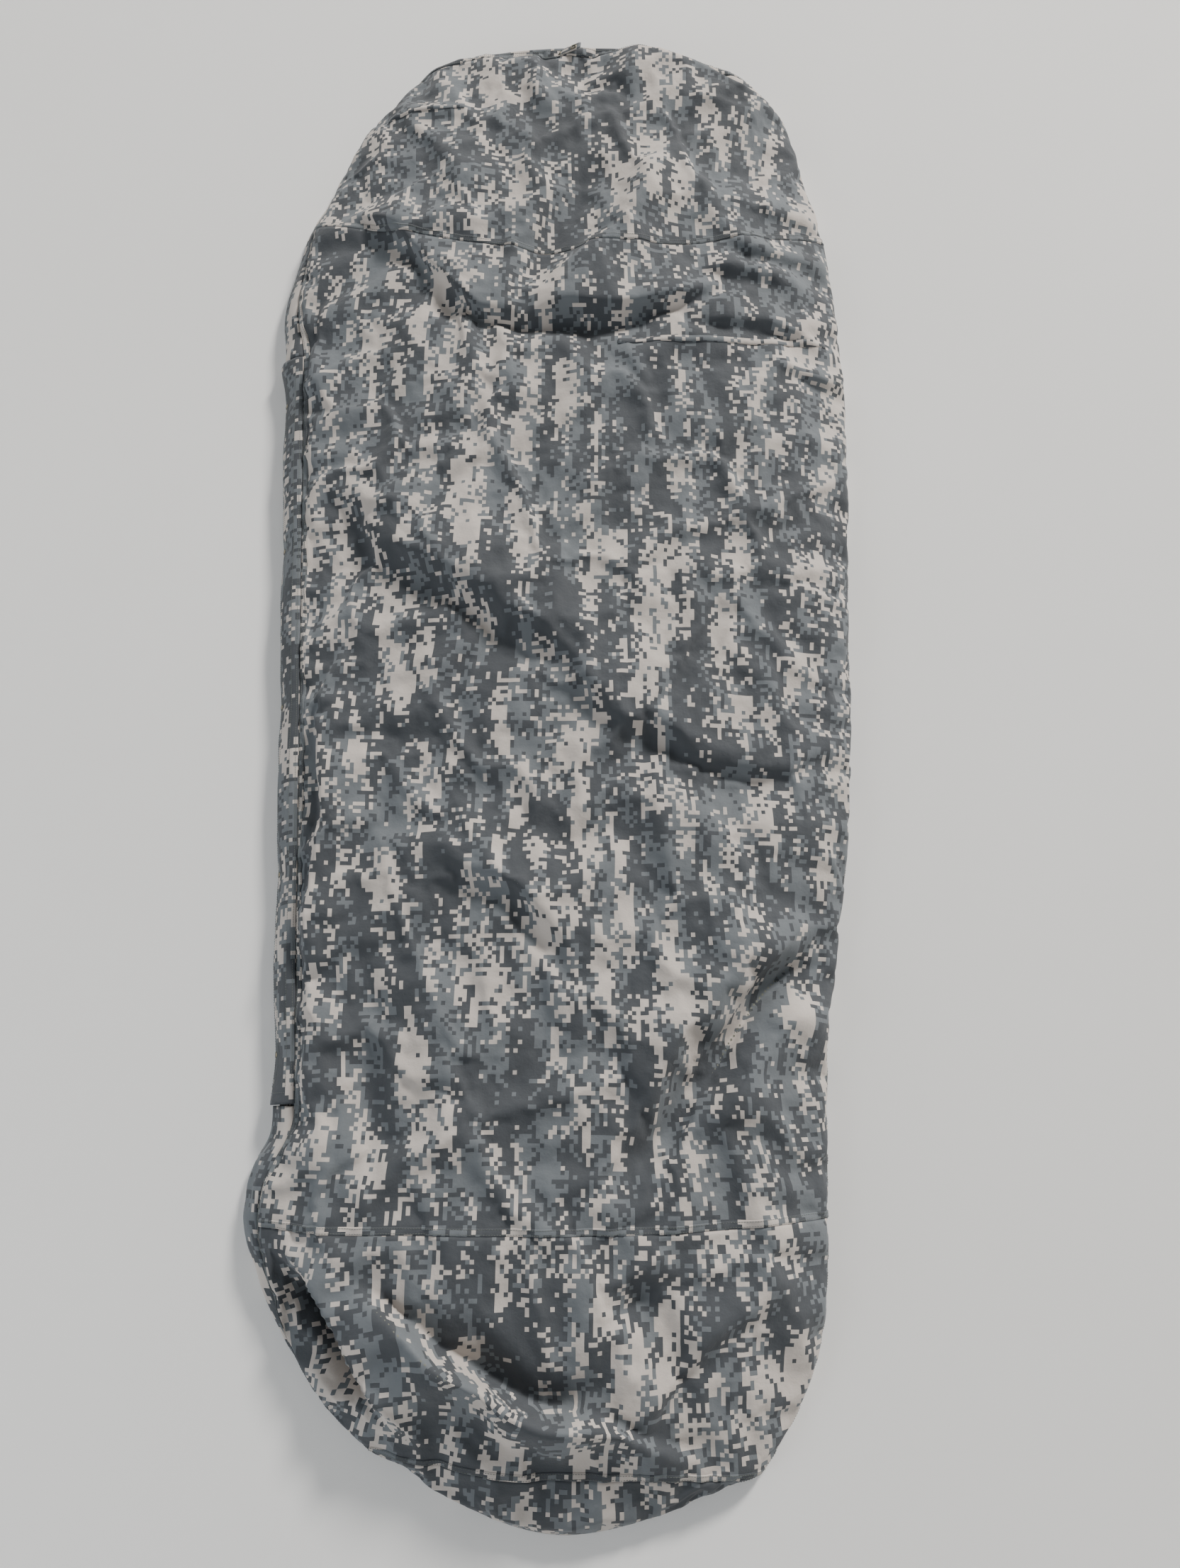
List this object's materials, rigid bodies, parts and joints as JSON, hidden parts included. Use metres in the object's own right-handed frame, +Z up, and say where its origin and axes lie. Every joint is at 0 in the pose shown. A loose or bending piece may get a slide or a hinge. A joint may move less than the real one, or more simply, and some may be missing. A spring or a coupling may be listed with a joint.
{
  "type": "bivy sack",
  "caption": "Waterproof sleeping-bag cover, lying flat and slightly puffed, with an open hood mouth and a two-way side zip under a snapped storm flap.",
  "frame": {"origin": "on the ground, under the middle of the sack's outline", "axes": "+Z up, +Y from the foot towards the hood and its mouth, +X towards the side that has no zip"},
  "size_m": [0.864, 2.2, 0.1199],
  "materials": {
    "camo_top": "three-colour digital camouflage laminate, matte",
    "camo_floor": "the same laminate under the sack, matte",
    "camo_flap": "the same laminate, doubled and topstitched",
    "seam_tape": "heat-bonded waterproof tape, satin",
    "zip_tape": "woven zip tape",
    "zip_coil": "nylon coil",
    "slider_metal": "black lacquer, worn at the edges",
    "snap_metal": "dark lacquered brass",
    "hook_loop": "hook-and-loop tape",
    "webbing": "woven nylon tape",
    "label": "blank woven label"
  },
  "bodies": {
    "shell": {"floor_panel": "camo_floor", "floor_seam_tape": "seam_tape", "hood_floor_hem": "camo_floor", "top_head_panel": "camo_top", "top_body_panel": "camo_top", "top_foot_panel": "camo_top", "foot_end_panel": "camo_top", "seam_tape_hood": "seam_tape", "seam_tape_knee": "seam_tape", "seam_tape_foot": "seam_tape", "side_strip_head": "camo_top", "side_strip_foot": "camo_top", "zip_side_strip": "camo_top", "zip_end_patch_head": "camo_top", "zip_end_patch_foot": "camo_top", "mouth_hem": "camo_top", "mouth_patch": "camo_top", "mouth_eyelets": "snap_metal", "zip_tape_upper": "zip_tape", "zip_tape_lower": "zip_tape", "zip_coil_upper": "zip_coil", "zip_coil_lower": "zip_coil", "zip_stops_head": "slider_metal", "zip_stop_foot": "slider_metal", "wall_snap_studs": "snap_metal", "wall_loop_patch": "hook_loop", "snap_tabs": "webbing", "snap_tab_sockets": "snap_metal", "blank_label": "label"},
    "flap": {"storm_flap": "camo_flap", "flap_snap_caps": "snap_metal", "flap_snap_sockets": "snap_metal", "flap_hook_patch": "hook_loop"},
    "slider_head": {"zip_slider_head": "slider_metal"},
    "pull_head": {"pull_tab_head": "slider_metal"},
    "slider_foot": {"zip_slider_foot": "slider_metal"},
    "pull_foot": {"pull_tab_foot": "slider_metal"}
  },
  "joints": [
    {"name": "flap_hinge", "type": "hinge", "parent": "shell", "child": "flap", "pos_m": [-0.37183, -0.04867, 0.04521], "axis": [-0.049, 0.9988, 0], "range_deg": [0, 150], "deforming": ["storm_flap"]},
    {"name": "slider_head_travel", "type": "slide", "parent": "shell", "child": "slider_head", "axis": [-0.049, 0.9988, 0], "range_m": [-0.453, 0]},
    {"name": "slider_foot_travel", "type": "slide", "parent": "shell", "child": "slider_foot", "axis": [-0.049, 0.9988, 0], "range_m": [0, 0.453]},
    {"name": "pull_head_swing", "type": "hinge", "parent": "slider_head", "child": "pull_head", "pos_m": [-0.40779, 0.44817, 0.03011], "axis": [-0.5729, -0.0281, -0.8192], "range_deg": [0, 180]},
    {"name": "pull_foot_swing", "type": "hinge", "parent": "slider_foot", "child": "pull_foot", "pos_m": [-0.35895, -0.54663, 0.03011], "axis": [0.5729, 0.0281, 0.8192], "range_deg": [0, 180]}
  ]
}
